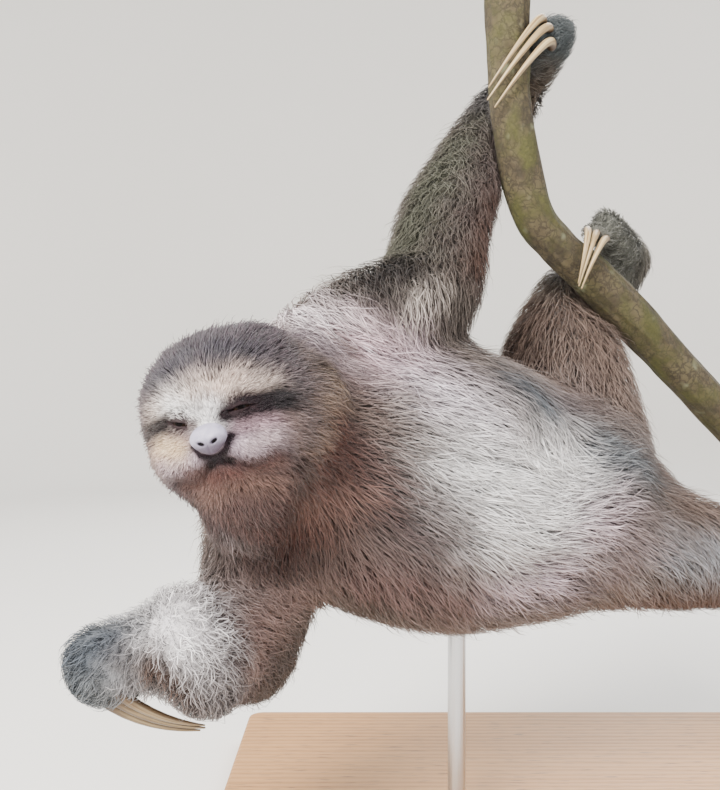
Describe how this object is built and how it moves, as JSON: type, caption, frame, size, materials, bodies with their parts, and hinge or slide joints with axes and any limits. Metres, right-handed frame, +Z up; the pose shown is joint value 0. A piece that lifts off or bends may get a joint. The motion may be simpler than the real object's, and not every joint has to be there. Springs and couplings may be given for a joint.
{
  "type": "three-toed sloth model",
  "caption": "Life-size museum model of a three-toed sloth hanging on a bent stem by one hand and both feet, on a flat display stand.",
  "frame": {"origin": "centre of the display base's flat underside, which stands on the floor", "axes": "+Z up; +X along the base's long side, from the sloth's head towards its rump; the sloth's face and belly look to -Y"},
  "size_m": [0.6606, 0.4071, 0.6306],
  "materials": {
    "coat": "long coarse hair",
    "claw_horn": "worn satin horn",
    "eye": "wet gloss",
    "nose_leather": "fine-grained satin",
    "bark": "rough mossy bark",
    "oak": "oiled satin",
    "steel": "brushed"
  },
  "bodies": {
    "root": {"head": "coat", "neck": "coat", "trunk": "coat", "tail": "coat", "upper_arm_left": "coat", "forearm_left": "coat", "hand_left": "coat", "upper_arm_right": "coat", "forearm_right": "coat", "hand_right": "coat", "thigh_left": "coat", "shank_left": "coat", "foot_left": "coat", "thigh_right": "coat", "shank_right": "coat", "foot_right": "coat", "eye_left": "eye", "eye_right": "eye", "nose": "nose_leather", "claw_hand_left_1": "claw_horn", "claw_hand_left_2": "claw_horn", "claw_hand_left_3": "claw_horn", "claw_hand_right_1": "claw_horn", "claw_hand_right_2": "claw_horn", "claw_hand_right_3": "claw_horn", "claw_foot_left_1": "claw_horn", "claw_foot_left_2": "claw_horn", "claw_foot_left_3": "claw_horn", "claw_foot_right_1": "claw_horn", "claw_foot_right_2": "claw_horn", "claw_foot_right_3": "claw_horn", "perch_stem": "bark", "stand_base": "oak", "stand_rod_body": "steel", "stand_rod_stem": "steel"}
  },
  "joints": []
}
